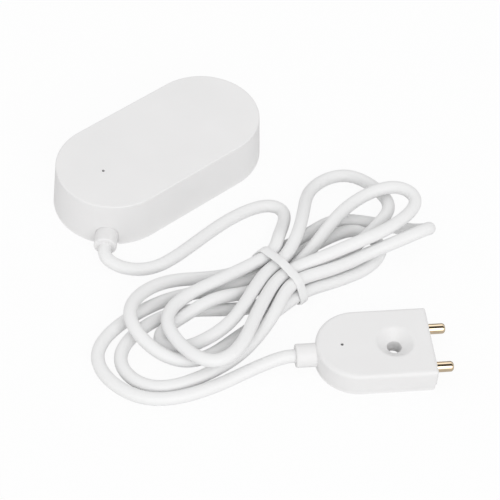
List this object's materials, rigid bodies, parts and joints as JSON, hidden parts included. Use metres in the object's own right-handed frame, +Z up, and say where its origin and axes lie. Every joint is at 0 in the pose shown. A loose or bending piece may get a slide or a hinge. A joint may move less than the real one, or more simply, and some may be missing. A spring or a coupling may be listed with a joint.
{
  "type": "water leak sensor",
  "caption": "Wireless water leak sensor: a flat battery unit with round ends, wired to a small screw-down probe with gold contact pins, its cord folded into a tied hank.",
  "frame": {"origin": "middle of the battery unit's underside, on the floor", "axes": "+Z up; +X along the battery unit, away from its strain relief; the tied cord and the probe lie towards -Y"},
  "size_m": [0.1131, 0.1301, 0.015],
  "materials": {
    "shell": "fine satin moulding, warm white",
    "relief": "soft matte, white",
    "cord": "soft satin jacket, white",
    "tie": "smooth satin, white",
    "gold": "polished gold plating",
    "seal": "matte",
    "steel": "plain",
    "board": "satin lacquer",
    "black_plastic": "matte",
    "connector": "satin",
    "wire": "satin",
    "led": "glossy",
    "light_guide": "glossy smoke"
  },
  "bodies": {
    "sensor": {"top_shell": "shell", "base_plate": "shell", "base_gasket": "seal", "base_screws": "steel", "light_pipe": "light_guide", "main_board": "board", "radio_module": "steel", "status_led": "led", "pairing_switch": "black_plastic", "battery_cell": "steel", "battery_contact_positive": "steel", "battery_contact_negative": "steel", "cable_gland": "relief", "wire_connector": "connector", "lead_wires": "wire", "probe_shell": "shell", "probe_base": "shell", "probe_gland": "relief", "contact_pins": "gold", "pin_seals": "seal", "probe_board": "board", "probe_led": "led", "probe_light_pipe": "light_guide", "probe_wires": "wire", "cord_lead": "cord", "cord_hank": "cord", "cord_tail": "cord", "cord_tie": "tie"},
    "cap": {"battery_cap": "shell", "cap_seal": "seal"},
    "button": {"pairing_button": "shell"}
  },
  "joints": [
    {"name": "cap_turn", "type": "hinge", "parent": "sensor", "child": "cap", "pos_m": [0.01401, 0, 0.001], "axis": [0, 0, -1], "range_deg": [0, 60]},
    {"name": "button_press", "type": "slide", "parent": "sensor", "child": "button", "axis": [0, 0, 1], "range_m": [0, 0.0004], "stiffness_N_per_m": 4000}
  ]
}
